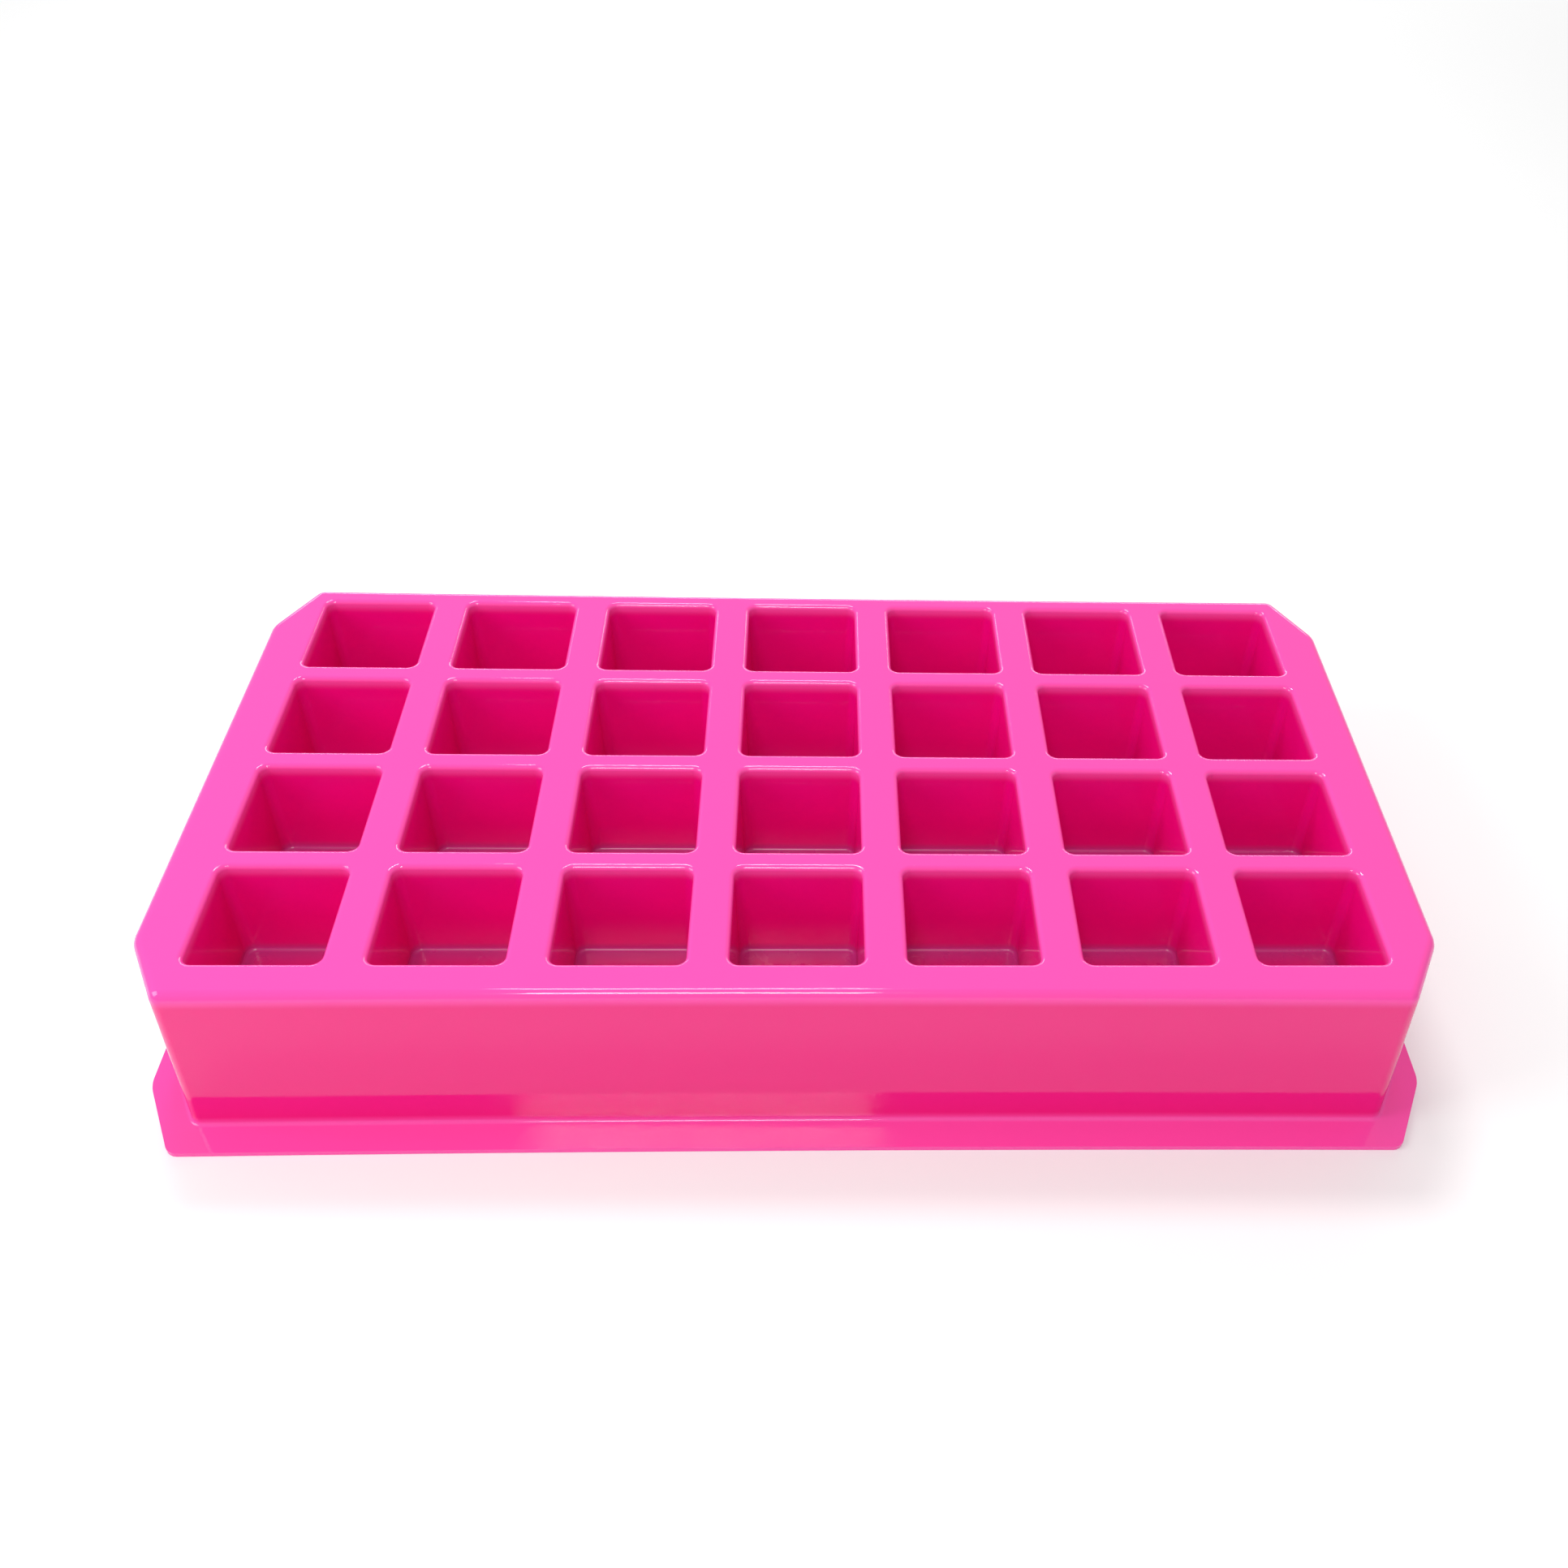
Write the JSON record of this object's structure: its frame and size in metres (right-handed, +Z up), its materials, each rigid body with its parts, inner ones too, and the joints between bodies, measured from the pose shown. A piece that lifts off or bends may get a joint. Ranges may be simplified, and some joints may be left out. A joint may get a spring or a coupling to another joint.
{
  "type": "soap cube mould tray",
  "caption": "Vacuum-formed plastic tray with square cavities in rows, a flat deck, a deep skirt with clipped corners and a foot flange.",
  "frame": {"origin": "middle of the flange's underside, on the surface that the tray stands on", "axes": "+X along the rows of seven cavities, +Y towards the back row, +Z up out of the cavities"},
  "size_m": [0.382, 0.216, 0.056],
  "materials": {
    "deck_sheet": "glossy pink sheet",
    "cavity_sheet": "glossy pink sheet, thinned and slightly translucent",
    "skirt_sheet": "glossy pink sheet",
    "flange_sheet": "glossy pink sheet"
  },
  "bodies": {
    "root": {"cavity_cup_row1_1": "cavity_sheet", "cavity_cup_row1_2": "cavity_sheet", "cavity_cup_row1_3": "cavity_sheet", "cavity_cup_row1_4": "cavity_sheet", "cavity_cup_row1_5": "cavity_sheet", "cavity_cup_row1_6": "cavity_sheet", "cavity_cup_row1_7": "cavity_sheet", "cavity_cup_row2_1": "cavity_sheet", "cavity_cup_row2_2": "cavity_sheet", "cavity_cup_row2_3": "cavity_sheet", "cavity_cup_row2_4": "cavity_sheet", "cavity_cup_row2_5": "cavity_sheet", "cavity_cup_row2_6": "cavity_sheet", "cavity_cup_row2_7": "cavity_sheet", "cavity_cup_row3_1": "cavity_sheet", "cavity_cup_row3_2": "cavity_sheet", "cavity_cup_row3_3": "cavity_sheet", "cavity_cup_row3_4": "cavity_sheet", "cavity_cup_row3_5": "cavity_sheet", "cavity_cup_row3_6": "cavity_sheet", "cavity_cup_row3_7": "cavity_sheet", "cavity_cup_row4_1": "cavity_sheet", "cavity_cup_row4_2": "cavity_sheet", "cavity_cup_row4_3": "cavity_sheet", "cavity_cup_row4_4": "cavity_sheet", "cavity_cup_row4_5": "cavity_sheet", "cavity_cup_row4_6": "cavity_sheet", "cavity_cup_row4_7": "cavity_sheet", "deck_edge_back": "deck_sheet", "deck_edge_front": "deck_sheet", "deck_edge_left": "deck_sheet", "deck_edge_right": "deck_sheet", "flange_back": "flange_sheet", "flange_corner_back_left": "flange_sheet", "flange_corner_back_right": "flange_sheet", "flange_corner_front_left": "flange_sheet", "flange_corner_front_right": "flange_sheet", "flange_front": "flange_sheet", "flange_left": "flange_sheet", "flange_right": "flange_sheet", "long_rib_1": "deck_sheet", "long_rib_2": "deck_sheet", "long_rib_3": "deck_sheet", "short_ribs_1": "deck_sheet", "short_ribs_2": "deck_sheet", "short_ribs_3": "deck_sheet", "short_ribs_4": "deck_sheet", "short_ribs_5": "deck_sheet", "short_ribs_6": "deck_sheet", "skirt_back": "skirt_sheet", "skirt_corner_back_left": "skirt_sheet", "skirt_corner_back_right": "skirt_sheet", "skirt_corner_front_left": "skirt_sheet", "skirt_corner_front_right": "skirt_sheet", "skirt_front": "skirt_sheet", "skirt_left": "skirt_sheet", "skirt_right": "skirt_sheet"}
  },
  "joints": []
}
